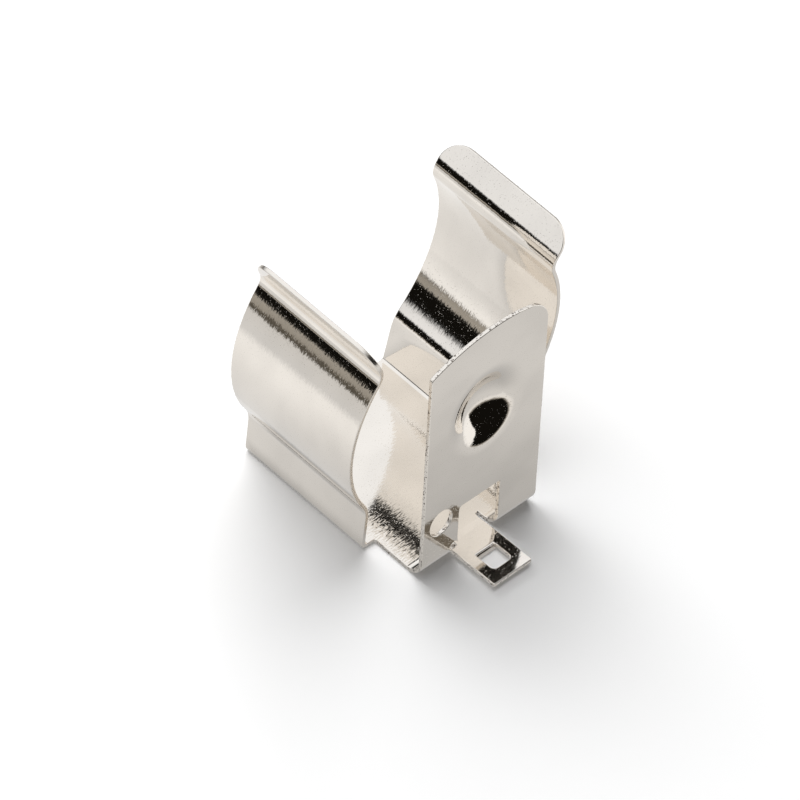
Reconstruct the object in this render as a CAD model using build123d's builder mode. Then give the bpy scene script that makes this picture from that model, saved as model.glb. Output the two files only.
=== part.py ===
from build123d import *
from math import asin, cos, degrees, radians, sin, tan
import os

# Battery clip: one strip of spring steel, cut and folded.
# The origin is the middle of the base's underside, between the arms.
# X runs across the cell, Y along it and away from the end plate, and Z up.
# All lengths are in millimetres and all angles in degrees.

# Sheet
sheet = 0.45
bend = 0.4

# Base and side walls
arm_front = 6.3
arm_length = 16.0
base_half = 9.5
notch_corner = 0.3

# Spring arms, seen along the cell: seat arc, waist and lip
seat_radius = 16.85
seat_offset = 3.5
seat_height = 16.8
seat_low = 39.2
seat_high = 27.4
kink_bend = 0.25
waist_bend = 1.8
lip_lean_left = 26.5
lip_lean_right = 34.0
lip_reach = 5.0
lip_corner = 2.6

# End plate
plate_width = 15.5
plate_lean = 7.4
plate_top = 27.3
front_bend = 1.35
crown_radius = 23.0
crown_offset = 1.2
crown_corner_left = 0.4
crown_corner_right = 3.0

# Contact dish pressed into the end plate
dish_height = 16.9
dish_radius = 4.8
dish_depth = 1.7
dish_rim = 1.0

# Round hole low in the end plate
hole_radius = 1.45
hole_offset = 5.4
hole_height = 6.1

# Window that the lug is cut from, with a round relief beside the lug's root
window_width = 5.45
window_offset = 0.2
window_top = 6.55
window_corner = 0.4
relief_radius = 0.5
relief_reach = 0.45
relief_height = 1.9

# Solder lug, stepped up from the base
lug_width = 5.15
lug_offset = 0.5
lug_root = 2.6
lug_tip = 5.1
lug_corner = 0.2
step_rise = 0.3
step_near = 2.0
step_far = 1.2

# Wire slot in the lug, with a lip folded down at its inner edge
slot_width = 2.55
slot_near = 1.6
slot_far = 3.75
slot_corner = 0.55
slot_bend = 0.1

# The arm's outer face, from the centres of its arcs
outer_radius = seat_radius + sheet
seat_centre = Vector(-seat_offset, seat_height)
waist_centre = seat_centre + Vector(outer_radius + waist_bend, 0).rotate(Axis.Z, seat_high)
kink = seat_centre + Vector(outer_radius, 0).rotate(Axis.Z, -seat_low)
waist_middle = waist_bend + sheet / 2

# Each side is drawn outwards from the middle in a plane of its own
left_plane = Plane(origin=(0, 0, 0), x_dir=(-1, 0, 0), z_dir=(0, 1, 0))
right_plane = Plane(origin=(0, 0, 0), x_dir=(1, 0, 0), z_dir=(0, -1, 0))

# The floor and side planes start below the end plate's foot, and the plate's outer face leans in from there
plate_front = -arm_front - arm_length / 2
floor_plane = Plane(origin=(0, plate_front, 0))
side_plane = Plane(origin=floor_plane.origin, x_dir=(0, 1, 0), z_dir=(1, 0, 0))
lean = radians(plate_lean)
plate_plane = Plane(origin=floor_plane.origin, x_dir=(1, 0, 0), z_dir=(0, -cos(lean), sin(lean)))
plate_half = plate_width / 2
bend_end = (front_bend + sheet) / tan((radians(90) - lean) / 2)
plate_foot = bend_end + sheet

# The dish's bowl arc touches its rim arc, which runs out flat on the plate
dish_sum = (dish_radius**2 + dish_depth**2) / (2 * dish_depth)
bowl_radius = dish_sum - dish_rim
bowl_half_angle = degrees(asin(dish_radius / dish_sum))
dish_plane = Plane(
    origin=plate_plane.from_local_coords(Vector(0, dish_height, 0)),
    x_dir=(1, 0, 0),
    z_dir=plate_plane.y_dir,
)

# The lug's slot edge, and the centre of the lip's fold
lug_top = step_rise + sheet
fold_radius = slot_bend + sheet
fold_start = slot_near - fold_radius

with BuildPart() as battery_clip:
    # Base, side walls and spring arms: one folded section on each side, with its own lean at the lip
    for side_section, lip_lean in ((left_plane, lip_lean_left), (right_plane, lip_lean_right)):
        lip_foot = waist_centre + Vector(-waist_bend, 0).rotate(Axis.Z, -lip_lean)
        lip_length = lip_reach - waist_middle * radians(seat_high + lip_lean)
        lip_end = lip_foot + Vector(0, lip_length).rotate(Axis.Z, -lip_lean)
        with BuildSketch(side_section):
            with BuildLine():
                Line((0, 0), (base_half, 0))
                Line((base_half, 0), kink)
                CenterArc(seat_centre, outer_radius, -seat_low, seat_low + seat_high)
                fillet(vertices().sort_by_distance((base_half, 0))[0], radius=bend + sheet)
                fillet(vertices().sort_by_distance(kink)[0], radius=kink_bend)
                CenterArc(waist_centre, waist_bend, 180 + seat_high, -(seat_high + lip_lean))
                Line(lip_foot, lip_end)
                offset(amount=sheet, side=Side.LEFT)
            make_face()
        extrude(amount=arm_length / 2, both=True)
    lip_faces = faces().sort_by(Axis.Z)[-2:]
    fillet(lip_faces.edges().sort_by(SortBy.LENGTH)[:4], radius=lip_corner)

    # Front of the base and the bend up into the end plate
    with BuildSketch(side_plane):
        with BuildLine():
            FilletPolyline(
                (arm_front + sheet, 0),
                (0, 0),
                (plate_foot * sin(lean), plate_foot * cos(lean)),
                radius=front_bend + sheet,
            )
            offset(amount=sheet, side=Side.RIGHT)
        make_face()
    extrude(amount=plate_half, both=True)

    # Round inner corners where the front strip meets the wider base
    with BuildSketch(floor_plane):
        with Locations((0, arm_front)):
            Rectangle(plate_width, 2 * notch_corner, align=(Align.CENTER, Align.MAX))
            Rectangle(plate_width + 4 * notch_corner, notch_corner, align=(Align.CENTER, Align.MIN))
        fillet(vertices().group_by(Axis.Y)[1].sort_by(Axis.X)[1:3], radius=notch_corner)
    extrude(amount=sheet)

    # End plate with its crowned top and round hole
    with BuildSketch(plate_plane):
        with Locations((0, bend_end)):
            Rectangle(plate_width, plate_top, align=(Align.CENTER, Align.MIN))
        with Locations((crown_offset, plate_top - crown_radius)):
            Circle(crown_radius, mode=Mode.INTERSECT)
        fillet(vertices().sort_by(Axis.X)[:2].sort_by(Axis.Y)[-1], radius=crown_corner_left)
        fillet(vertices().sort_by(Axis.X)[-2:].sort_by(Axis.Y)[-1], radius=crown_corner_right)
        with Locations((-hole_offset, hole_height)):
            Circle(hole_radius, mode=Mode.SUBTRACT)
        with Locations((0, dish_height)):
            Circle(dish_radius, mode=Mode.SUBTRACT)
    extrude(amount=-sheet)

    # Contact dish, hollow on the outside and standing in towards the cell
    with BuildSketch(dish_plane):
        with BuildLine():
            CenterArc((0, dish_depth - bowl_radius), bowl_radius, 90, -bowl_half_angle)
            CenterArc((dish_radius, dish_rim), dish_rim, 270 - bowl_half_angle, bowl_half_angle)
            offset(amount=sheet, side=Side.LEFT)
        make_face()
    revolve(axis=Axis(dish_plane.origin, plate_plane.z_dir))

    # Window, open down through the bend, with the round relief
    with BuildSketch(plate_plane.offset(sheet)):
        with Locations((-window_offset, window_top)):
            Rectangle(window_width, window_top + sheet, align=(Align.CENTER, Align.MAX))
        fillet(vertices().sort_by(Axis.X)[:2].sort_by(Axis.Y)[-1], radius=window_corner)
        with Locations((-window_offset - window_width / 2 - relief_reach, relief_height)):
            Circle(relief_radius)
    extrude(amount=-lug_root - sheet, mode=Mode.SUBTRACT)

    # Solder lug
    with BuildSketch(side_plane.offset(-lug_offset)):
        with BuildLine():
            FilletPolyline(
                (lug_root + sheet, 0),
                (step_near, 0),
                (step_far, step_rise),
                (-lug_tip, step_rise),
                radius=bend,
            )
            offset(amount=sheet, side=Side.RIGHT)
        make_face()
    extrude(amount=lug_width / 2, both=True)
    tip_face = faces().sort_by(Axis.Y)[0]
    fillet(tip_face.edges().sort_by(SortBy.LENGTH)[:2], radius=lug_corner)

    # Wire slot with round outer corners
    with BuildSketch(floor_plane):
        with Locations((-lug_offset, -fold_start)):
            Rectangle(slot_width, slot_far - fold_start, align=(Align.CENTER, Align.MAX))
        fillet(vertices().sort_by(Axis.Y)[:2], radius=slot_corner)
    extrude(amount=lug_top, mode=Mode.SUBTRACT)

    # Lip folded down from the slot's inner edge to the level of the base
    with BuildSketch(side_plane.offset(-lug_offset)):
        with BuildLine():
            Line((-fold_start, lug_top), (-fold_start, step_rise))
            CenterArc((-fold_start, step_rise - slot_bend), slot_bend, 90, 90)
            Line((-fold_start - slot_bend, step_rise - slot_bend), (-fold_start - slot_bend, 0))
            Line((-fold_start - slot_bend, 0), (-slot_near, 0))
            Line((-slot_near, 0), (-slot_near, step_rise - slot_bend))
            CenterArc((-fold_start, step_rise - slot_bend), fold_radius, 180, -90)
        make_face()
    extrude(amount=slot_width / 2, both=True)

battery_clip.part.label = "battery_clip"
os.makedirs("parts", exist_ok=True)
export_step(battery_clip.part, "parts/battery_clip.step")
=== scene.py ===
"""Battery clip: one folded strip of nickel-plated spring steel, standing on a pale studio floor."""

import math

import bmesh
import bpy
import numpy as np
from bpy.props import FloatProperty, FloatVectorProperty, PointerProperty
from mathutils import Euler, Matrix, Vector
from mathutils.geometry import delaunay_2d_cdt


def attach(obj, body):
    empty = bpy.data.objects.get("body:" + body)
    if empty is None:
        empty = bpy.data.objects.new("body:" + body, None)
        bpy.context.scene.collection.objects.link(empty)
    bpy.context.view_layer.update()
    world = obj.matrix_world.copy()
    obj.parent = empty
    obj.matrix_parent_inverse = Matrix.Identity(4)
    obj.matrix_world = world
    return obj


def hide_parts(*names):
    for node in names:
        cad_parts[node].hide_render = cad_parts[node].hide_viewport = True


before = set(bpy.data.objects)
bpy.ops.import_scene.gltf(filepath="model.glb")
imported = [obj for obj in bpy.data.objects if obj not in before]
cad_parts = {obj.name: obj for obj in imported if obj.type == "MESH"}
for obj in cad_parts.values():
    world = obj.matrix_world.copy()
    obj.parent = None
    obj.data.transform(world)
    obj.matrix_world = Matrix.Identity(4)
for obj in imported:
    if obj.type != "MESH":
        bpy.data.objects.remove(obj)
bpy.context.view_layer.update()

bl_info = {
    "name": "Battery Clip",
    "version": (1, 0, 0),
    "blender": (4, 5, 0),
    "location": "View3D > Sidebar > Battery Clip",
    "description": "Folds and finishes a sheet-metal battery clip and sets up its studio",
    "category": "Object",
}

MM = 0.001

# Spacing of the points along outlines, folds and the dish, and the room kept between close ones
ARC_STEP = math.radians(4.0)
TIGHT_ARC_STEP = math.radians(10.0)
LINE_STEP = 0.6 * MM
DISH_STEP = 0.2 * MM
RING_STEP = 0.35 * MM
CORNER_ROOM = 0.12 * MM
STATION_ROOM = 0.004 * MM
EDGE_ROOM = 1.6
WELD = 0.0005 * MM

# Rounding of the cut edges, in degrees from the cut wall, and how it ends at sharp points
RIM_ANGLES = (0.0, 30.0, 60.0)
SHARP_TURN = math.radians(100.0)
SHARP_SHARE = 0.15
MITRE_LIMIT = 1.5


def length_property(name, description, default):
    return FloatProperty(name=name, description=description, unit="LENGTH", default=default * MM)


def angle_property(name, description, default):
    return FloatProperty(name=name, description=description, unit="ROTATION", default=math.radians(default))


def share_property(name, description, default):
    return FloatProperty(name=name, description=description, subtype="FACTOR", min=0.0, max=1.0, default=default)


def amount_property(name, description, default, **settings):
    return FloatProperty(name=name, description=description, min=0.0, default=default, **settings)


def colour_property(name, description, default):
    return FloatVectorProperty(
        name=name, description=description, subtype="COLOR", size=3, min=0.0, max=1.0, default=default)


def place_property(name, description, default):
    return FloatVectorProperty(
        name=name, description=description, subtype="TRANSLATION", unit="LENGTH", size=3, default=default)


class ClipSizes(bpy.types.PropertyGroup):
    """Sizes of the folded sheet."""

    sheet: length_property("Sheet", "Thickness of the sheet", 0.45)
    bend: length_property("Bend", "Inner radius of the bends at the base", 0.4)
    edge: length_property("Edge", "Rounding of the cut edges", 0.09)
    arm_front: length_property("Arm front", "From the end plate to the arms", 6.3)
    arm_length: length_property("Arm length", "Length of the arms along the cell", 16.0)
    base_half: length_property("Base half", "Half the width of the base", 9.5)
    notch_corner: length_property("Notch corner", "Rounding where the front strip meets the base", 0.3)
    seat_radius: length_property("Seat radius", "Radius of the arms' seat", 16.85)
    seat_offset: length_property("Seat offset", "How far the seat's centre lies past the middle", 3.5)
    seat_height: length_property("Seat height", "Height of the seat's centre", 16.8)
    seat_low: angle_property("Seat low", "Lower end of the seat", 39.2)
    seat_high: angle_property("Seat high", "Upper end of the seat", 27.4)
    kink_bend: length_property("Kink bend", "Outer radius of the bend below the seat", 4.0)
    waist_bend: length_property("Waist bend", "Outer radius of the bend above the seat", 1.8)
    ease_bend: length_property("Ease bend", "Outer radius where the waist eases into a lip", 4.2)
    ease_lean: angle_property("Ease lean", "Lean at which the waist starts to ease", 24.8)
    ease_least: angle_property("Least ease", "Least turn of the easing", 0.5)
    ease_rest: angle_property("Ease rest", "Lean that is left after the easing", 2.2)
    lip_lean_left: angle_property("Left lip lean", "Lean of the left lip", 26.5)
    lip_lean_right: angle_property("Right lip lean", "Lean of the right lip", 34.0)
    lip_reach: length_property("Lip reach", "Length of a lip with its bend", 5.0)
    lip_corner: length_property("Lip corner", "Radius of the lips' corners", 2.6)
    plate_width: length_property("Plate width", "Width of the end plate", 15.5)
    plate_lean: angle_property("Plate lean", "Lean of the end plate over the cell", 7.4)
    plate_top: length_property("Plate top", "Length of the end plate", 27.3)
    front_bend: length_property("Front bend", "Inner radius of the bend below the end plate", 1.35)
    crown_radius: length_property("Crown radius", "Radius of the end plate's top", 23.0)
    crown_offset: length_property("Crown offset", "How far the crown's centre lies to the right", 1.2)
    crown_corner_left: length_property("Left crown corner", "Radius of the crown's left corner", 0.4)
    crown_corner_right: length_property("Right crown corner", "Radius of the crown's right corner", 3.0)
    dish_height: length_property("Dish height", "Height of the dish up the end plate", 17.3)
    dish_radius: length_property("Dish radius", "Outer radius of the dish", 5.3)
    dish_depth: length_property("Dish depth", "Depth of the dish", 1.9)
    dish_rim: length_property("Dish rim", "Radius of the dish's rim", 3.5)
    hole_radius: length_property("Hole radius", "Radius of the round hole", 1.45)
    hole_offset: length_property("Hole offset", "How far the hole lies to the left", 5.4)
    hole_height: length_property("Hole height", "Height of the hole up the end plate", 6.1)
    window_width: length_property("Window width", "Width of the window", 5.45)
    window_offset: length_property("Window offset", "How far the window lies to the left", 0.2)
    window_top: length_property("Window top", "Height of the window up the end plate", 6.55)
    window_corner: length_property("Window corner", "Radius of the window's left corner", 0.4)
    relief_radius: length_property("Relief radius", "Radius of the relief beside the lug", 0.5)
    relief_reach: length_property("Relief reach", "How far the relief's centre lies past the window", 0.45)
    relief_height: length_property("Relief height", "Height of the relief up the end plate", 1.9)
    lug_width: length_property("Lug width", "Width of the solder lug", 5.15)
    lug_offset: length_property("Lug offset", "How far the lug lies to the left", 0.5)
    lug_root: length_property("Lug root", "From the end plate back to the lug's root", 2.6)
    lug_tip: length_property("Lug tip", "From the end plate out to the lug's tip", 5.1)
    lug_corner: length_property("Lug corner", "Radius of the lug's corners", 0.2)
    lug_tilt: angle_property("Lug tilt", "How far the lug tilts up towards its tip", 2.5)
    step_rise: length_property("Step rise", "Rise of the lug over the base", 0.12)
    step_near: length_property("Step near", "Where the lug's step starts", 2.0)
    step_far: length_property("Step far", "Where the lug's step ends", 1.2)
    slot_width: length_property("Slot width", "Width of the wire slot", 2.55)
    slot_near: length_property("Slot near", "Near end of the wire slot", 1.6)
    slot_far: length_property("Slot far", "Far end of the wire slot", 3.75)
    slot_corner: length_property("Slot corner", "Radius of the slot's far corners", 0.55)
    slot_bend: length_property("Slot bend", "Inner radius of the slot's folded lip", 0.1)


class ClipFinish(bpy.types.PropertyGroup):
    """Colour and polish of the plated sheet."""

    plate_colour: colour_property("Plate colour", "Colour of the bright nickel plate", (0.86, 0.81, 0.745))
    plate_dulled: share_property("Plate dulled", "Brightness of the plate in its duller parts", 0.93)
    plate_roughness: share_property("Plate roughness", "Roughness of the polished faces", 0.06)
    grain_tilt: amount_property("Grain tilt", "How far the rolling lines turn the light, as a slope", 0.085)
    speck_dullness: amount_property(
        "Speck dullness", "Roughness of the small specks, as a multiple of the edge roughness", 2.4)
    edge_colour: colour_property("Edge colour", "Colour of the torn metal at the cut edges", (0.1, 0.075, 0.06))
    edge_roughness: share_property("Edge roughness", "Roughness of the cut edges", 0.28)
    edge_depth: length_property("Edge depth", "Depth of the tearing at the cut edges", 0.008)


class StudioSettings(bpy.types.PropertyGroup):
    """Floor, light and camera of the studio."""

    floor_half: length_property("Floor half", "Half the width of the floor", 1500.0)
    floor_colour: colour_property("Floor colour", "Colour of the floor", (0.97, 0.97, 0.97))
    # The grey that the clip mirrors of the floor is a painted reflection: painted shade darkens it near the clip's
    # foot, and painted light brightens it at the clip's left and behind it
    painted_reflection_near: share_property("Mirrored near", "Grey that the clip mirrors of the floor at its foot", 0.47)
    painted_reflection_far: share_property("Mirrored far", "Grey that the clip mirrors of the floor further out", 0.7)
    painted_light_left: share_property(
        "Mirrored left", "How much brighter the mirrored floor is at the clip's left", 0.2)
    painted_light_back: share_property(
        "Mirrored back", "How much brighter the mirrored floor is behind the clip", 0.36)
    mirror_reach: length_property("Mirror reach", "How far out the clip mirrors the floor", 45.0)
    fill_back: amount_property("Fill from the back", "Brightness of the soft light behind the clip", 0.75)
    fill_front: amount_property("Fill from the front", "Brightness of the soft light before the clip", 0.05)
    lamp_size: length_property("Lamp size", "Width of the softbox", 1000.0)
    lamp_energy: amount_property("Lamp energy", "Power of the softbox in watts", 11.0, unit="POWER")
    lamp_location: place_property("Lamp location", "Where the softbox hangs", (0.16, 0.52, 0.78))
    camera_location: place_property(
        "Camera location", "Where the camera stands", (-0.359611, -0.272655, 0.495446))
    camera_turn: FloatVectorProperty(
        name="Camera turn", description="How the camera is turned", subtype="EULER", size=3,
        default=(math.radians(42.26202), math.radians(-7.55084), math.radians(-44.79519)))
    camera_lens: FloatProperty(
        name="Camera lens", description="Focal length in millimetres", unit="CAMERA", min=1.0, default=315.0)


# Flat outlines and fold paths

def trace(start, heading, moves, arc_step=ARC_STEP):
    """Follows straight runs and arcs, and returns the path's points, their headings and the length to each."""
    points, headings, lengths = [np.array(start, float)], [heading], [0.0]
    for radius, amount in moves:
        if radius is None:
            steps = max(1, math.ceil(amount / LINE_STEP))
            for _ in range(steps):
                step = amount / steps
                points.append(points[-1] + step * np.array([math.cos(heading), math.sin(heading)]))
                headings.append(heading)
                lengths.append(lengths[-1] + step)
            continue
        steps = max(2, math.ceil(abs(amount) / arc_step))
        turn = amount / steps
        chord = 2.0 * radius * math.sin(abs(turn) / 2.0)
        for _ in range(steps):
            heading += turn / 2.0
            points.append(points[-1] + chord * np.array([math.cos(heading), math.sin(heading)]))
            heading += turn / 2.0
            headings.append(heading)
            lengths.append(lengths[-1] + chord)
    return np.array(points), np.array(headings), np.array(lengths)


def on_circle(centre, radius, angles):
    """The points at these angles on a circle."""
    return [np.array(centre) + radius * np.array([math.cos(a), math.sin(a)]) for a in angles]


def rounded(corners, steps=10):
    """A closed outline through (x, y, radius) corners, with each corner rounded."""
    outline = []
    for before, corner, after in zip(corners[-1:] + corners[:-1], corners, corners[1:] + corners[:1]):
        here = np.array(corner[:2])
        radius = corner[2]
        if radius <= 0.0:
            outline.append(here)
            continue
        to_before = np.array(before[:2]) - here
        to_after = np.array(after[:2]) - here
        to_before /= np.linalg.norm(to_before)
        to_after /= np.linalg.norm(to_after)
        half = math.acos(np.clip(to_before @ to_after, -1.0, 1.0)) / 2.0
        middle = to_before + to_after
        centre = here + middle / np.linalg.norm(middle) * radius / math.sin(half)
        first = here + to_before * radius / math.tan(half) - centre
        last = here + to_after * radius / math.tan(half) - centre
        a, b = math.atan2(first[1], first[0]), math.atan2(last[1], last[0])
        sweep = (b - a + math.pi) % (2.0 * math.pi) - math.pi
        outline += on_circle(centre, radius, [a + sweep * k / steps for k in range(steps + 1)])
    return outline


def circle(centre, radius, steps):
    return on_circle(centre, radius, np.linspace(0.0, 2.0 * math.pi, steps, endpoint=False))


def divided(outline, stations):
    """The outline with a point wherever one of its straight runs crosses a station of the folds."""
    points = []
    for here, after in zip(outline, outline[1:] + outline[:1]):
        points.append(here)
        run = after - here
        length = np.linalg.norm(run)
        shares = []
        for axis in (0, 1):
            if abs(run[axis]) > 1e-9:
                shares.extend((stations[axis] - here[axis]) / run[axis])
        shares = sorted(s for s in shares if 0.0 < s < 1.0)
        last = 0.0
        for share in shares:
            to_corner = min(share, 1.0 - share) * length
            if min((share - last) * length, to_corner - CORNER_ROOM) > STATION_ROOM:
                points.append(here + run * share)
                last = share
    return np.array(points)


def inside(points, loops):
    """Which points lie inside the outer loop and outside the holes."""
    result = np.zeros(len(points), bool)
    for loop in loops:
        ends = np.roll(loop, -1, axis=0)
        for (ax, ay), (bx, by) in zip(loop, ends):
            if ay == by:
                continue
            crosses = (points[:, 1] < ay) != (points[:, 1] < by)
            at = ax + (points[:, 1] - ay) * (bx - ax) / (by - ay)
            result ^= crosses & (points[:, 0] < at)
    return result


def clearance(points, loops):
    """Distance from each point to the nearest loop."""
    nearest = np.full(len(points), 1e9)
    for loop in loops:
        ends = np.roll(loop, -1, axis=0)
        for a, b in zip(loop, ends):
            run = b - a
            share = np.clip(((points - a) @ run) / (run @ run), 0.0, 1.0)
            nearest = np.minimum(nearest, np.linalg.norm(points - a - share[:, None] * run, axis=1))
    return nearest


def outward(loop, hole):
    """Unit vectors out of the sheet along a loop, the loop's sense, and the turn and the mitre at each point."""
    run = np.roll(loop, -1, axis=0) - loop
    run /= np.linalg.norm(run, axis=1)[:, None]
    before = np.roll(run, 1, axis=0)
    along = run + before
    along /= np.linalg.norm(along, axis=1)[:, None]
    area = np.sum(loop[:, 0] * np.roll(loop[:, 1], -1) - loop[:, 1] * np.roll(loop[:, 0], -1))
    side = 1.0 if (area > 0.0) != hole else -1.0
    turn = side * np.arctan2(before[:, 0] * run[:, 1] - before[:, 1] * run[:, 0], np.sum(before * run, axis=1))
    mitre = np.minimum(1.0 / np.cos(turn / 2.0), MITRE_LIMIT)
    return side * np.stack([along[:, 1], -along[:, 0]], axis=1), side, turn, mitre[:, None]


def level(points):
    """The height and upward normal of a sheet without any form."""
    return np.zeros(len(points)), np.tile([0.0, 0.0, 1.0], (len(points), 1))


def flat_sheet(name, loops, joined, lattice, thickness, edge, form=level):
    """A flat closed sheet with rounded cut edges, ready to fold.

    The first loop is the outline and the others are holes. Along the points that joined picks, another
    sheet goes on, so no edge is made there. form gives the height and the upward normal of the sheet.
    """
    positions, normals, places, marks, faces = [], [], [], [], []

    def add(points, heights, directions, mark):
        start = sum(len(p) for p in positions)
        lift, up = form(points)
        positions.append(np.column_stack([points, lift]) + up * heights)
        normals.append(directions(up))
        places.append(points)
        marks.append(np.full(len(points), mark))
        return np.arange(start, start + len(points))

    rims = []
    for index, loop in enumerate(loops):
        out, side, turn, mitre = outward(loop, index > 0)
        joint = joined(loop)
        radius = np.where(joint, 0.0, edge)
        # The rounding fades out towards a sharp point of the sheet
        for point in loop[turn > SHARP_TURN]:
            radius = np.minimum(radius, SHARP_SHARE * np.linalg.norm(loop - point, axis=1))
        rims.append((loop, out, side, joint, radius[:, None], mitre))
    insets = [loop - out * radius * mitre for loop, out, side, joint, radius, mitre in rims]
    lattice = lattice[inside(lattice, loops)]
    lattice = lattice[clearance(lattice, loops) > EDGE_ROOM * edge]
    face_points = np.vstack(insets + [lattice])
    edges, start = [], 0
    for loop in insets:
        count = len(loop)
        edges.extend((start + k, start + (k + 1) % count) for k in range(count))
        start += count
    result = delaunay_2d_cdt([Vector(p / MM) for p in face_points], edges, [], 1, 1e-7)
    source = [origin[0] for origin in result[3]]
    triangles = np.array([[source[i] for i in t] for t in result[2]])
    triangles = triangles[inside(face_points[triangles].mean(axis=1), insets)]
    a, b, c = (face_points[triangles[:, k]] for k in range(3))
    turned = (b - a)[:, 0] * (c - a)[:, 1] - (b - a)[:, 1] * (c - a)[:, 0] < 0.0
    triangles[turned] = triangles[turned][:, ::-1]
    top = add(face_points, thickness, lambda up: up, 0.0)
    bottom = add(face_points, 0.0, lambda up: -up, 0.0)
    faces.extend(top[triangles].tolist())
    faces.extend(bottom[triangles[:, ::-1]].tolist())
    start = 0
    for loop, out, side, joint, radius, mitre in rims:
        count = len(loop)
        square = radius[:, 0] < 1e-9
        ends = top[start:start + count], bottom[start:start + count]
        rows = [ends[0]]
        flat_out = np.pad(out, ((0, 0), (0, 1)))
        for height, end, sign, angles in (
                (thickness, ends[0], 1.0, RIM_ANGLES[::-1]), (0.0, ends[1], -1.0, RIM_ANGLES)):
            for angle in map(math.radians, angles):
                c, t = math.cos(angle), math.sin(angle)
                row = add(
                    loop - out * radius * mitre * (1.0 - c), height - sign * radius * (1.0 - t),
                    lambda up: flat_out * c + up * sign * t, 2.0 * c - 1.0)
                rows.append(np.where(square, end, row))
        rows.append(ends[1])
        for upper, lower in zip(rows, rows[1:]):
            for k in range(count):
                n = (k + 1) % count
                if joint[k] and joint[n]:
                    continue
                quad = list(dict.fromkeys((upper[k], lower[k], lower[n], upper[n])[::int(side)]))
                if len(quad) > 2:
                    faces.append(quad)
        start += count
    positions, normals = np.vstack(positions), np.vstack(normals)
    places, marks = np.vstack(places), np.concatenate(marks)
    normals /= np.linalg.norm(normals, axis=1)[:, None]
    faces = [[int(i) for i in face] for face in faces]
    used = np.unique(np.concatenate(faces))
    order = np.full(len(positions), -1)
    order[used] = np.arange(len(used))
    mesh = bpy.data.meshes.new(name)
    mesh.from_pydata(positions[used].tolist(), [], [order[face].tolist() for face in faces])
    mesh.attributes.new("sheet_normal", "FLOAT_VECTOR", "POINT").data.foreach_set("vector", normals[used].ravel())
    mesh.attributes.new("cut_edge", "FLOAT", "POINT").data.foreach_set("value", marks[used])
    corners = np.zeros(len(mesh.loops), np.int32)
    mesh.loops.foreach_get("vertex_index", corners)
    mesh.uv_layers.new(name="flat").uv.foreach_set("vector", (places[used][corners] / MM).ravel())
    sheet = bpy.data.objects.new(name, mesh)
    bpy.context.scene.collection.objects.link(sheet)
    return sheet


# Node trees

class Graph:
    """Short ways to add and join nodes in one tree."""

    def __init__(self, tree):
        self.tree = tree

    def put(self, socket, value):
        """Links another node's output to the socket, or sets the socket's value."""
        if isinstance(value, bpy.types.NodeSocket):
            self.tree.links.new(value, socket)
        else:
            socket.default_value = value

    def node(self, kind, inputs=None, **settings):
        node = self.tree.nodes.new(kind)
        for name, value in settings.items():
            setattr(node, name, value)
        for key, value in (inputs or {}).items():
            self.put(node.inputs[key], value)
        return node

    def math(self, operation, *values):
        return self.node("ShaderNodeMath", dict(enumerate(values)), operation=operation).outputs[0]

    def vector(self, operation, a, b=None):
        inputs = {0: a} if b is None else {0: a, ("Scale" if operation == "SCALE" else 1): b}
        outputs = self.node("ShaderNodeVectorMath", inputs, operation=operation).outputs
        return outputs["Value" if operation in ("DOT_PRODUCT", "LENGTH") else "Vector"]

    def parts(self, vector):
        return self.node("ShaderNodeSeparateXYZ", {"Vector": vector}).outputs

    def ranged(self, value, low, high, to_low=0.0, to_high=1.0, kind="SMOOTHSTEP"):
        inputs = {"Value": value, "From Min": low, "From Max": high, "To Min": to_low, "To Max": to_high}
        return self.node("ShaderNodeMapRange", inputs, interpolation_type=kind).outputs["Result"]

    def mixed(self, factor, a, b):
        return self.node("ShaderNodeMix", {0: factor, 6: a, 7: b}, data_type="RGBA").outputs[2]

    def stretched_noise(self, place, scale, detail, roughness=0.5):
        stretch = self.node("ShaderNodeMapping", {"Vector": place, "Scale": scale})
        inputs = {"Vector": stretch.outputs["Vector"], "Scale": 1.0, "Detail": detail, "Roughness": roughness}
        return self.node("ShaderNodeTexNoise", inputs).outputs["Fac"]

    def ramp(self, value, stops):
        ramp = self.node("ShaderNodeValToRGB", {"Fac": value})
        elements = ramp.color_ramp.elements
        for index, (position, colour) in enumerate(stops):
            stop = elements[index] if index < 2 else elements.new(position)
            stop.position = position
            stop.color = colour
        return ramp.outputs["Color"]


def new_group(name, kind, inputs, outputs):
    """A node group, the graph to fill it, and what goes in and comes out."""
    tree = bpy.data.node_groups.new(name, kind)
    for title, socket, value in inputs:
        socket = tree.interface.new_socket(name=title, in_out="INPUT", socket_type="NodeSocket" + socket)
        if value is not None:
            socket.default_value = value
    for title, socket in outputs:
        tree.interface.new_socket(name=title, in_out="OUTPUT", socket_type="NodeSocket" + socket)
    graph = Graph(tree)
    return tree, graph, graph.node("NodeGroupInput").outputs, graph.node("NodeGroupOutput").inputs


# Folding

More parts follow.
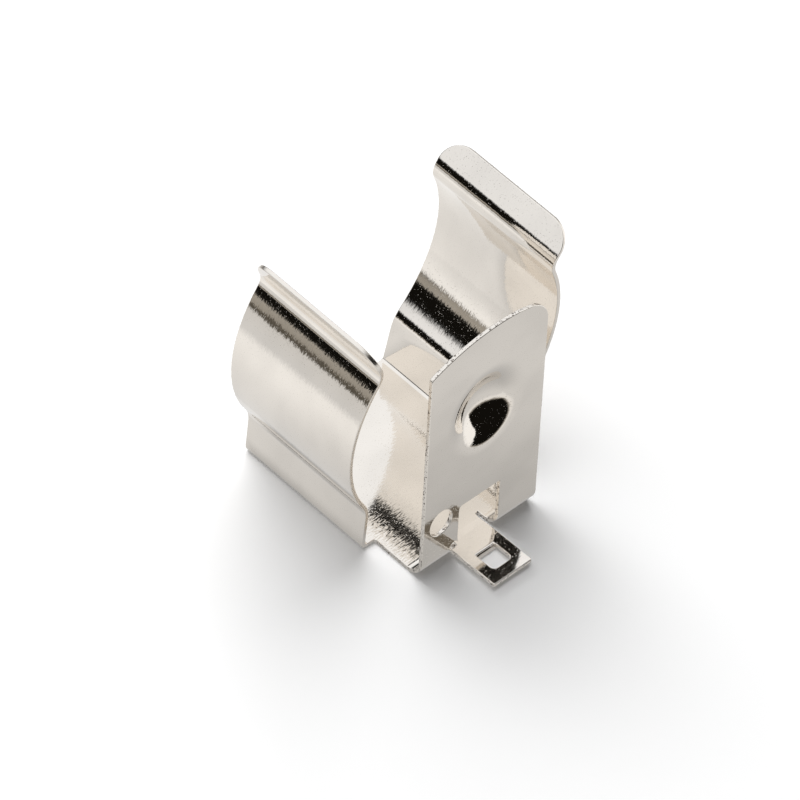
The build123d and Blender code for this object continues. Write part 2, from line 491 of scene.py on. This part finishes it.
def fold_tree():
    """Lays a flat sheet along a fold path that runs across one axis, and turns its stored normals with it."""
    tree, graph, given, result = new_group(
        "fold_sheet", "GeometryNodeTree",
        [("Geometry", "Geometry", None), ("Fold path", "Object", None), ("Across", "Vector", None),
         ("Path start", "Float", None), ("Material", "Material", None)],
        [("Geometry", "Geometry")])
    upright = (0.0, 0.0, 1.0)
    across = given["Across"]
    side = graph.vector("CROSS_PRODUCT", upright, across)
    position = graph.node("GeometryNodeInputPosition").outputs["Position"]
    distance = graph.math("SUBTRACT", graph.vector("DOT_PRODUCT", position, across), given["Path start"])
    path = graph.node("GeometryNodeObjectInfo", {"Object": given["Fold path"]}).outputs["Geometry"]
    # The path's tilt holds its heading
    heading = graph.node("GeometryNodeInputCurveTilt").outputs["Tilt"]
    sample = graph.node(
        "GeometryNodeSampleCurve", {"Curves": path, "Length": distance, "Value": heading},
        mode="LENGTH", use_all_curves=True).outputs
    axis = graph.vector("CROSS_PRODUCT", across, upright)
    up = graph.node(
        "ShaderNodeVectorRotate", {"Vector": upright, "Axis": axis, "Angle": sample["Value"]},
        rotation_type="AXIS_ANGLE").outputs["Vector"]
    along = graph.vector("CROSS_PRODUCT", side, up)

    def share(vector, flat, folded):
        return graph.vector("SCALE", folded, graph.vector("DOT_PRODUCT", vector, flat))

    def laid(vector):
        return graph.vector("ADD", share(vector, side, side), share(vector, upright, up))

    stored = graph.node("GeometryNodeInputNamedAttribute", {"Name": "sheet_normal"}, data_type="FLOAT_VECTOR")
    normal = stored.outputs["Attribute"]
    # The normals are turned before the points move, because both are read from the flat sheet
    turned = graph.vector("ADD", share(normal, across, along), laid(normal))
    store = graph.node(
        "GeometryNodeStoreNamedAttribute", {"Geometry": given["Geometry"], "Name": "sheet_normal", "Value": turned},
        data_type="FLOAT_VECTOR", domain="POINT").outputs["Geometry"]
    folded = graph.vector("ADD", sample["Position"], laid(position))
    place = graph.node("GeometryNodeSetPosition", {"Geometry": store, "Position": folded}).outputs["Geometry"]
    realized = graph.node("GeometryNodeRealizeInstances", {"Geometry": place}).outputs["Geometry"]
    paint = graph.node("GeometryNodeSetMaterial", {"Geometry": realized, "Material": given["Material"]})
    graph.put(result["Geometry"], paint.outputs["Geometry"])
    return tree


def fold(sheet, tree, points, headings, across, start, material):
    """Folds the sheet along a path of points and keeps the result as a plain mesh."""
    curve = bpy.data.curves.new("fold_path", "CURVE")
    curve.dimensions = "3D"
    spline = curve.splines.new("POLY")
    spline.points.add(len(points) - 1)
    spline.points.foreach_set("co", np.column_stack([points, np.ones(len(points))]).ravel())
    spline.points.foreach_set("tilt", headings)
    path = bpy.data.objects.new("fold_path", curve)
    bpy.context.scene.collection.objects.link(path)
    modifier = sheet.modifiers.new("fold", "NODES")
    modifier.node_group = tree
    values = {"Fold path": path, "Across": across, "Path start": start, "Material": material}
    for item in tree.interface.items_tree:
        if item.name in values:
            modifier[item.identifier] = values[item.name]
    bpy.context.view_layer.update()
    graph = bpy.context.evaluated_depsgraph_get()
    sheet.data = bpy.data.meshes.new_from_object(
        sheet.evaluated_get(graph), preserve_all_data_layers=True, depsgraph=graph)
    sheet.modifiers.clear()
    bpy.data.objects.remove(path)


def forward(start, height, moves, arc_step=ARC_STEP, tilt=0.0):
    """A path that runs from start towards the front, given from its far end, its headings and its stations."""
    path, headings, lengths = trace((start, height), math.pi - tilt, moves, arc_step)
    return np.column_stack([np.zeros(len(path)), path])[::-1], headings[::-1] - math.pi, start - lengths[::-1]


def side_moves(s, lip_lean):
    """The runs and bends of the sheet's outer face from the middle of the base to a lip's end."""
    outer = s.seat_radius + s.sheet
    start, centre = np.array([s.base_half, 0.0]), np.array([-s.seat_offset, s.seat_height])
    kink = centre + outer * np.array([math.cos(s.seat_low), -math.sin(s.seat_low)])
    wall = (kink - start) / np.linalg.norm(kink - start)
    rise = math.atan2(wall[1], wall[0])
    foot = (s.bend + s.sheet) * math.tan(rise / 2.0)
    # The kink's arc touches the straight wall and the seat's arc
    away = start + s.kink_bend * np.array([wall[1], -wall[0]]) - centre
    before = away @ wall
    wall_length = -before - math.sqrt(before ** 2 - away @ away + (outer + s.kink_bend) ** 2)
    away = away + wall_length * wall
    seat_start = math.atan2(away[1], away[0])
    easing = max(s.ease_least, lip_lean - s.ease_lean - s.ease_rest)
    return [
        (None, s.base_half - foot),
        (s.bend + s.sheet, rise),
        (None, wall_length - foot),
        (s.kink_bend, seat_start + math.pi / 2.0 - rise),
        (outer, s.seat_high - seat_start),
        (s.waist_bend, -(s.seat_high + s.ease_lean)),
        (s.ease_bend, -easing),
        (s.waist_bend, -(lip_lean - s.ease_lean - easing)),
        (None, s.lip_reach - (s.waist_bend + s.sheet / 2.0) * (s.seat_high + lip_lean)
         - (s.ease_bend - s.waist_bend) * easing),
    ]


def dish_form(s, middle):
    """The height and upward normal of the dish pressed into the flat sheet."""
    both = (s.dish_radius ** 2 + s.dish_depth ** 2) / (2.0 * s.dish_depth)
    bowl = both - s.dish_rim
    joint = bowl * s.dish_radius / both

    def form(points):
        away = points - middle
        r = np.linalg.norm(away, axis=1)
        radial = away / np.maximum(r, 1e-12)[:, None]
        rim = np.clip(s.dish_radius - r, 0.0, s.dish_rim)
        in_bowl = r < joint
        height = np.where(
            in_bowl, s.dish_depth - bowl + np.sqrt(np.maximum(bowl ** 2 - r ** 2, 0.0)),
            s.dish_rim - np.sqrt(s.dish_rim ** 2 - rim ** 2))
        lean = np.where(in_bowl, r / bowl, rim / s.dish_rim)
        return height, np.column_stack([radial * lean[:, None], np.sqrt(np.maximum(1.0 - lean ** 2, 0.0))])

    return form


def lattice_of(across, along):
    return np.stack(np.meshgrid(across, along), axis=-1).reshape(-1, 2)


def on_line(y, x0, x1):
    """Picks the points of a loop on one line across the strip."""
    return lambda loop: (
        (np.abs(loop[:, 1] - y) < 1e-7) & (loop[:, 0] > x0 - 1e-7) & (loop[:, 0] < x1 + 1e-7))


def plate_and_root(s):
    """Where the end plate's outer face meets the floor plane, and where the lug's root meets the base."""
    front = -s.arm_front - s.arm_length / 2.0
    return front, front + s.lug_root / math.cos(s.plate_lean)


def window_sides(s):
    left = -s.window_offset - s.window_width / 2.0
    return left, left + s.window_width


def body_sheet(s, tree, material):
    """The base, the arms and the end plate: one flat sheet, folded across and then along."""
    half, w = s.arm_length / 2.0, s.plate_width / 2.0
    right, right_headings, right_lengths = trace((0.0, 0.0), 0.0, side_moves(s, s.lip_lean_right))
    left, left_headings, left_lengths = trace((0.0, 0.0), 0.0, side_moves(s, s.lip_lean_left))
    section = np.vstack([(left * (-1.0, 1.0))[:0:-1], right])
    section = np.column_stack([section[:, 0], np.zeros(len(section)), section[:, 1]])
    section_headings = np.concatenate([-left_headings[:0:-1], right_headings])
    across = np.concatenate([-left_lengths[:0:-1], right_lengths])

    plate_front, rear = plate_and_root(s)
    radius, sweep = s.front_bend + s.sheet, math.pi / 2.0 + s.plate_lean
    foot = radius / math.tan((math.pi / 2.0 - s.plate_lean) / 2.0)
    past_crown = s.plate_top - foot + MM
    profile, profile_headings, along = forward(
        half, 0.0, [(None, half - plate_front - foot), (radius, -sweep), (None, past_crown)])
    bend_end = plate_front + foot - radius * sweep

    def up_plate(height):
        return bend_end + foot - height

    def crown(x):
        return up_plate(s.plate_top - s.crown_radius + math.sqrt(s.crown_radius ** 2 - (x - s.crown_offset) ** 2))

    # The crown's own points keep clear of its two rounded corners
    crown_left, crown_right = -w + s.crown_corner_left + 0.3 * MM, w - s.crown_corner_right - MM
    outline = rounded([
        (across[-1], half, s.lip_corner), (across[0], half, s.lip_corner), (across[0], -half, s.lip_corner),
        (-w, -half, s.notch_corner), (-w, crown(-w), s.crown_corner_left),
        *((x, crown(x), 0.0) for x in np.linspace(crown_left, crown_right, 24)),
        (w, crown(w), s.crown_corner_right), (w, -half, s.notch_corner), (across[-1], -half, s.lip_corner)])
    hole = circle((-s.hole_offset, up_plate(s.hole_height)), s.hole_radius, 56)
    window_left, window_right = window_sides(s)
    root_end = -s.lug_offset + s.lug_width / 2.0
    relief = (window_left - s.relief_reach, up_plate(s.relief_height))
    gap = math.acos(s.relief_reach / s.relief_radius)
    corner = np.array([window_left, up_plate(s.window_top)]) + s.window_corner
    window = [
        *map(np.array, ((window_right, rear), (root_end, rear), (window_left, rear))),
        *on_circle(relief, s.relief_radius, np.linspace(gap, 2.0 * math.pi - gap, 25)),
        *on_circle(corner, s.window_corner, np.linspace(math.pi, 1.5 * math.pi, 9)),
        np.array([window_right, up_plate(s.window_top)])]

    middle = np.array([0.0, up_plate(s.dish_height)])
    reach = s.dish_radius + 1.25 * DISH_STEP
    grid = lattice_of(across, along)
    grid = grid[np.linalg.norm(grid - middle, axis=1) > reach]
    rings = [circle(middle, r, max(8, round(2.0 * math.pi * r / RING_STEP)))
             for r in np.arange(DISH_STEP, reach, DISH_STEP)]
    loops = [divided(loop, (across, along)) for loop in (outline, hole, window)]
    sheet = flat_sheet(
        "clip_sheet", loops, on_line(rear, window_left, root_end),
        np.vstack([grid, middle[None, :]] + rings), s.sheet, s.edge, dish_form(s, middle))
    fold(sheet, tree, section, section_headings, (1.0, 0.0, 0.0), across[0], material)
    fold(sheet, tree, profile, profile_headings, (0.0, 1.0, 0.0), along[0], material)
    return sheet, across


def lug_sheets(s, tree, material, across):
    """The solder lug with its wire slot, and the lip folded down at the slot."""
    plate_front, rear = plate_and_root(s)
    rise = math.atan2(s.step_rise, s.step_near - s.step_far)
    trim = s.bend * math.tan(rise / 2.0)
    path, headings, along = forward(rear, 0.0, [
        (None, rear - plate_front - s.step_near - trim),
        (s.bend, -rise),
        (None, math.hypot(s.step_near - s.step_far, s.step_rise) - 2.0 * trim),
        (s.bend, rise - s.lug_tilt),
        (None, s.step_far - trim + s.lug_tip),
    ])
    tip = along[0]

    def out_from(distance):
        return tip + s.lug_tip - distance

    window_left = window_sides(s)[0]
    left, right = -s.lug_offset - s.lug_width / 2.0, -s.lug_offset + s.lug_width / 2.0
    gap = math.sqrt(s.relief_radius ** 2 - s.relief_reach ** 2)
    outline = rounded([
        (right, rear, 0.0), (window_left, rear, 0.0), (window_left, out_from(-s.relief_height - gap), 0.0),
        (left, out_from(-s.relief_height), 0.0), (left, tip, s.lug_corner), (right, tip, s.lug_corner)])
    slot_left, slot_right = -s.lug_offset - s.slot_width / 2.0, -s.lug_offset + s.slot_width / 2.0
    fold_line = s.slot_near - s.slot_bend - s.sheet
    slot = rounded([
        (slot_right, out_from(fold_line), 0.0), (slot_left, out_from(fold_line), 0.0),
        (slot_left, out_from(s.slot_far), s.slot_corner), (slot_right, out_from(s.slot_far), s.slot_corner)])
    stations = (across, along)
    root, slot_end = on_line(rear, window_left, right), on_line(out_from(fold_line), slot_left, slot_right)
    lug = flat_sheet(
        "clip_lug", [divided(outline, stations), divided(slot, stations)], lambda loop: root(loop) | slot_end(loop),
        lattice_of(across, along), s.sheet, s.edge)
    fold(lug, tree, path, headings, (0.0, 1.0, 0.0), tip, material)

    # The lip starts on the lug's tilted underside and is folded down until it stands upright
    start, height = (float(np.interp(out_from(fold_line), along, path[:, k])) for k in (1, 2))
    drop = height - s.slot_bend * math.cos(s.lug_tilt)
    path, headings, along = forward(
        start, height, [(s.slot_bend, math.pi / 2.0 + s.lug_tilt), (None, drop)], TIGHT_ARC_STEP, s.lug_tilt)
    outline = rounded([
        (slot_right, start, 0.0), (slot_left, start, 0.0), (slot_left, along[0], 0.0), (slot_right, along[0], 0.0)])
    lip = flat_sheet(
        "clip_slot_lip", [divided(outline, (across, along))], on_line(start, slot_left, slot_right),
        lattice_of(across, along), s.sheet, s.edge)
    fold(lip, tree, path, headings, (0.0, 1.0, 0.0), along[0], material)
    return lug, lip


class CLIP_OT_sheet(bpy.types.Operator):
    """Cuts and folds the clip and gives it its bright nickel plate"""

    bl_idname = "clip.sheet"
    bl_label = "Battery clip"

    def execute(self, context):
        sizes = context.scene.clip_sizes
        material = nickel_material(context.scene.clip_finish)
        tree = fold_tree()
        clip, across = body_sheet(sizes, tree, material)
        whole = bmesh.new()
        whole.from_mesh(clip.data)
        for part in lug_sheets(sizes, tree, material, across):
            whole.from_mesh(part.data)
            bpy.data.objects.remove(part)
        bmesh.ops.remove_doubles(whole, verts=whole.verts, dist=WELD)
        whole.to_mesh(clip.data)
        whole.free()
        mesh = clip.data
        mesh.shade_smooth()
        normals = np.zeros(len(mesh.vertices) * 3)
        mesh.attributes["sheet_normal"].data.foreach_get("vector", normals)
        mesh.attributes.remove(mesh.attributes["sheet_normal"])
        mesh.normals_split_custom_set_from_vertices(normals.reshape(-1, 3).tolist())
        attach(clip, "root")
        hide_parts("battery_clip")
        return {"FINISHED"}


# Finishes

def new_material(name):
    material = bpy.data.materials.new(name)
    material.use_nodes = True
    material.node_tree.nodes.clear()
    return material, material.node_tree


def rolled_grain():
    """Fine rolling lines along the strip and a few small specks, placed in millimetres of flat sheet."""
    tree, graph, given, result = new_group(
        "rolled_grain", "ShaderNodeTree", [("Place", "Vector", None), ("Tilt", "Float", 0.03)],
        [("Normal", "Vector"), ("Shade", "Float"), ("Speck", "Float")])
    normal = graph.node("ShaderNodeNewGeometry").outputs["Normal"]
    along = graph.vector("NORMALIZE", graph.vector("CROSS_PRODUCT", (0.0, 1.0, 0.0), normal))
    lines = graph.stretched_noise(given["Place"], (1.6, 7.5, 1.0), 2.0, 0.7)
    tilt = graph.math("MULTIPLY", graph.math("SUBTRACT", lines, 0.5), given["Tilt"])
    spots = graph.node("ShaderNodeTexVoronoi", {"Vector": given["Place"], "Scale": 4.6}).outputs
    near = graph.ranged(spots["Distance"], 0.1, 0.3, 1.0, 0.0)
    chosen = graph.ranged(graph.node("ShaderNodeSeparateColor", {"Color": spots["Color"]}).outputs[0], 0.4, 0.5)
    turned = graph.vector("ADD", normal, graph.vector("SCALE", along, tilt))
    graph.put(result["Normal"], graph.vector("NORMALIZE", turned))
    graph.put(result["Speck"], graph.math("MULTIPLY", near, chosen))
    graph.put(result["Shade"], graph.stretched_noise(given["Place"], (0.12, 0.2, 1.0), 2.0))
    return tree


def sheared_edge():
    """The torn and rubbed look of a sheared edge, placed in millimetres from the middle of the base."""
    tree, graph, given, result = new_group(
        "sheared_edge", "ShaderNodeTree", [("Place", "Vector", None), ("Edge", "Float", 0.0)],
        [("Mask", "Float"), ("Height", "Float"), ("Shade", "Float")])
    torn = graph.stretched_noise(given["Place"], (4.5, 4.5, 4.5), 3.0, 0.7)
    mask = graph.ranged(given["Edge"], 0.35, 0.75)
    # The arms' edges are rubbed bright, and those of the end plate and the lug stay torn
    rubbed = graph.ranged(graph.math("ABSOLUTE", graph.parts(given["Place"])["X"]), 8.0, 10.0, 0.0, 0.2)
    graph.put(result["Mask"], mask)
    graph.put(result["Height"], graph.math("MULTIPLY", graph.math("SUBTRACT", torn, 0.5), mask))
    graph.put(result["Shade"], graph.ranged(graph.math("ADD", torn, rubbed), 0.38, 0.46))
    return tree


def nickel_material(finish):
    """Bright nickel with rolling lines on its faces and torn metal at its cut edges."""
    material, tree = new_material("bright_nickel")
    graph = Graph(tree)
    flat = graph.node("ShaderNodeUVMap", uv_map="flat").outputs["UV"]
    solid = graph.vector("SCALE", graph.node("ShaderNodeTexCoord").outputs["Object"], 1.0 / MM)
    edge = graph.node("ShaderNodeAttribute", attribute_name="cut_edge").outputs["Fac"]
    grain = graph.node("ShaderNodeGroup", node_tree=rolled_grain())
    shear = graph.node("ShaderNodeGroup", node_tree=sheared_edge())
    for socket, value in (
            (grain.inputs["Place"], flat), (grain.inputs["Tilt"], finish.grain_tilt),
            (shear.inputs["Place"], solid), (shear.inputs["Edge"], edge)):
        graph.put(socket, value)
    plate = (*finish.plate_colour, 1.0)
    dulled = (*(finish.plate_dulled * c for c in finish.plate_colour), 1.0)
    face = graph.mixed(graph.ranged(grain.outputs["Shade"], 0.35, 0.7), plate, dulled)
    cut = graph.mixed(shear.outputs["Shade"], (*finish.edge_colour, 1.0), plate)
    bump = graph.node("ShaderNodeBump", {
        "Strength": 1.0, "Distance": finish.edge_depth, "Height": shear.outputs["Height"],
        "Normal": grain.outputs["Normal"]})
    specks = graph.math("MULTIPLY", grain.outputs["Speck"], finish.speck_dullness)
    rough = graph.math("ADD", shear.outputs["Mask"], specks)
    shader = graph.node("ShaderNodeBsdfPrincipled", {
        "Base Color": graph.mixed(shear.outputs["Mask"], face, cut),
        "Metallic": 1.0,
        "Roughness": graph.ranged(rough, 0.0, 1.0, finish.plate_roughness, finish.edge_roughness, "LINEAR"),
        "Normal": bump.outputs["Normal"],
    })
    graph.node("ShaderNodeOutputMaterial", {"Surface": shader.outputs["BSDF"]})
    return material


# Studio

# What the clip mirrors on each side of it, as (degrees above the horizon, grey, warmth)
BACK_VIEW = (
    (-90.0, 0.74, -0.03), (-35.0, 0.76, -0.03), (-13.0, 0.69, 0.02), (-12.5, 0.09, 0.3), (-9.4, 0.1, 0.3),
    (-8.9, 0.33, 0.18), (-4.0, 0.41, 0.16), (-3.5, 0.006, 0.3), (9.0, 0.006, 0.3), (12.6, 0.89, -0.05),
    (20.0, 0.95, -0.05), (27.0, 1.05, -0.05), (90.0, 1.02, -0.05))
FRONT_VIEW = (
    (-90.0, 0.6, 0.0), (-40.0, 0.62, 0.0), (-26.0, 0.95, 0.0), (-17.0, 0.86, 0.03), (-13.5, 0.25, 0.2),
    (-11.5, 0.006, 0.3), (38.0, 0.006, 0.3), (40.0, 0.1, 0.3), (44.0, 0.25, 0.2), (46.0, 0.75, 0.0),
    (49.0, 0.9, 0.0), (49.8, 0.006, 0.3), (54.2, 0.01, 0.3), (54.8, 0.3, 0.1), (90.0, 0.5, 0.0))
RIGHT_VIEW = (
    (-90.0, 0.6, 0.0), (-40.0, 0.62, 0.0), (-26.0, 0.95, 0.0), (-8.0, 1.1, 0.0), (38.0, 1.05, 0.0),
    (49.0, 0.9, 0.0), (50.0, 0.006, 0.3), (58.0, 0.006, 0.3), (59.5, 0.5, 0.1), (90.0, 0.5, 0.0))
FRONT_LEFT = (-0.719, -0.695, 0.0)
FRONT_RIGHT = (0.5, -0.87, 0.0)


def stops_by_elevation(rows):
    """Ramp stops from (degrees above the horizon, grey, warmth) rows."""
    return [((degrees + 90.0) / 180.0, (grey, grey * (1.0 - 0.4 * warmth), grey * (1.0 - warmth), 1.0))
            for degrees, grey, warmth in rows]


def studio_world(studio):
    """A pale table, a dark gap and bright walls, which only the clip mirrors, and soft fill light for the floor."""
    world = bpy.data.worlds.new("studio")
    bpy.context.scene.world = world
    world.use_nodes = True
    world.node_tree.nodes.clear()
    graph = Graph(world.node_tree)
    direction = graph.node("ShaderNodeTexCoord").outputs["Generated"]
    height = graph.math("MULTIPLY_ADD", graph.math("ARCSINE", graph.parts(direction)["Z"]), 1.0 / math.pi, 0.5)
    back, front, right = (
        graph.ramp(height, stops_by_elevation(rows)) for rows in (BACK_VIEW, FRONT_VIEW, RIGHT_VIEW))
    leftward = graph.vector("DOT_PRODUCT", direction, FRONT_LEFT)
    rightward = graph.vector("DOT_PRODUCT", direction, FRONT_RIGHT)
    front = graph.mixed(graph.ranged(leftward, -0.09, -0.04), right, front)
    mirrored = graph.mixed(graph.ranged(rightward, 0.2, 0.5), back, front)
    fill = graph.ranged(rightward, -0.7, 0.5, studio.fill_back, studio.fill_front)
    rays = graph.node("ShaderNodeLightPath").outputs
    lit = graph.mixed(rays["Is Diffuse Ray"], mirrored, fill)
    colour = graph.mixed(rays["Is Camera Ray"], lit, (1.0, 1.0, 1.0, 1.0))
    background = graph.node("ShaderNodeBackground", {"Color": colour, "Strength": 1.0})
    graph.node("ShaderNodeOutputWorld", {"Surface": background.outputs["Background"]})


def floor_material(studio):
    """A pale floor, which the clip mirrors as a painted reflection: a glowing grey that is darker near its foot by
    painted shade, lighter at its left and behind it by painted light, and not at all far out.
    """
    material, tree = new_material("floor_white")
    graph = Graph(tree)
    place = graph.node("ShaderNodeTexCoord").outputs["Object"]
    away = graph.vector("LENGTH", place)
    x, y = (graph.parts(place)[axis] for axis in "XY")
    far = graph.ranged(away, studio.mirror_reach, studio.mirror_reach * 1.3)
    # Painted light: the mirrored floor is made brighter at the clip's left and behind it
    left = graph.math(
        "MULTIPLY", graph.ranged(x, -11.0 * MM, -9.4 * MM, studio.painted_light_left, 0.0),
        graph.ranged(y, -12.0 * MM, 10.0 * MM, 0.6, 1.5, "LINEAR"))
    behind = graph.math(
        "MULTIPLY", graph.ranged(y, 6.0 * MM, 10.0 * MM, 0.0, studio.painted_light_back),
        graph.ranged(x, -12.0 * MM, -10.0 * MM))
    # Painted shade: the mirrored grey is darker near the clip's foot, standing in for the floor's shadow there
    grey = graph.math(
        "ADD", graph.ranged(away, 10.0 * MM, 40.0 * MM, studio.painted_reflection_near, studio.painted_reflection_far),
        graph.math("MAXIMUM", left, behind))
    matt = graph.node("ShaderNodeBsdfDiffuse", {"Color": (*studio.floor_colour, 1.0)})
    # The floor glows this grey for glossy rays only: a painted reflection, not a lamp
    painted_reflection = graph.node("ShaderNodeEmission", {"Color": grey})
    open_air = graph.node("ShaderNodeBsdfTransparent")
    beyond = graph.node("ShaderNodeMixShader", {0: far, 1: painted_reflection.outputs["Emission"], 2: open_air.outputs["BSDF"]})
    glossy = graph.node("ShaderNodeLightPath").outputs["Is Glossy Ray"]
    mix = graph.node("ShaderNodeMixShader", {0: glossy, 1: matt.outputs["BSDF"], 2: beyond.outputs["Shader"]})
    graph.node("ShaderNodeOutputMaterial", {"Surface": mix.outputs["Shader"]})
    return material


class CLIP_OT_studio(bpy.types.Operator):
    """Builds the floor, the light and the camera"""

    bl_idname = "clip.studio"
    bl_label = "Studio"

    def execute(self, context):
        scene, studio = context.scene, context.scene.clip_studio
        half = studio.floor_half
        mesh = bpy.data.meshes.new("floor")
        mesh.from_pydata([(x * half, y * half, 0.0) for x, y in ((-1, -1), (1, -1), (1, 1), (-1, 1))],
                         [], [(0, 1, 2, 3)])
        floor = bpy.data.objects.new("floor", mesh)
        scene.collection.objects.link(floor)
        mesh.materials.append(floor_material(studio))
        studio_world(studio)
        light = bpy.data.lights.new("softbox", "AREA")
        light.shape = "SQUARE"
        light.size = studio.lamp_size
        light.energy = studio.lamp_energy
        lamp = bpy.data.objects.new("softbox", light)
        lamp.location = studio.lamp_location
        lamp.rotation_euler = (-lamp.location).to_track_quat("-Z", "Y").to_euler()
        lamp.visible_glossy = False
        lamp.visible_camera = False
        scene.collection.objects.link(lamp)
        data = bpy.data.cameras.new("camera")
        data.lens = studio.camera_lens
        data.clip_start = 0.01
        data.clip_end = 100.0
        camera = bpy.data.objects.new("camera", data)
        camera.location = studio.camera_location
        camera.rotation_euler = Euler(studio.camera_turn)
        scene.collection.objects.link(camera)
        scene.camera = camera
        scene.view_settings.view_transform = "Standard"
        return {"FINISHED"}


class CLIP_PT_panel(bpy.types.Panel):
    """Lists the clip's steps and sizes"""

    bl_label = "Battery Clip"
    bl_idname = "CLIP_PT_panel"
    bl_space_type = "VIEW_3D"
    bl_region_type = "UI"
    bl_category = "Battery Clip"

    def draw(self, context):
        layout = self.layout
        for group in (context.scene.clip_sizes, context.scene.clip_finish, context.scene.clip_studio):
            for name in group.bl_rna.properties.keys():
                if name not in ("rna_type", "name"):
                    layout.prop(group, name)
        layout.operator("clip.sheet")
        layout.operator("clip.studio")


CLASSES = (ClipSizes, ClipFinish, StudioSettings, CLIP_OT_sheet, CLIP_OT_studio, CLIP_PT_panel)


def register():
    for cls in CLASSES:
        bpy.utils.register_class(cls)
    bpy.types.Scene.clip_sizes = PointerProperty(type=ClipSizes)
    bpy.types.Scene.clip_finish = PointerProperty(type=ClipFinish)
    bpy.types.Scene.clip_studio = PointerProperty(type=StudioSettings)


def unregister():
    del bpy.types.Scene.clip_studio
    del bpy.types.Scene.clip_finish
    del bpy.types.Scene.clip_sizes
    for cls in reversed(CLASSES):
        bpy.utils.unregister_class(cls)


def main():
    register()
    bpy.ops.clip.sheet()
    bpy.ops.clip.studio()


if __name__ == "__main__":
    main()
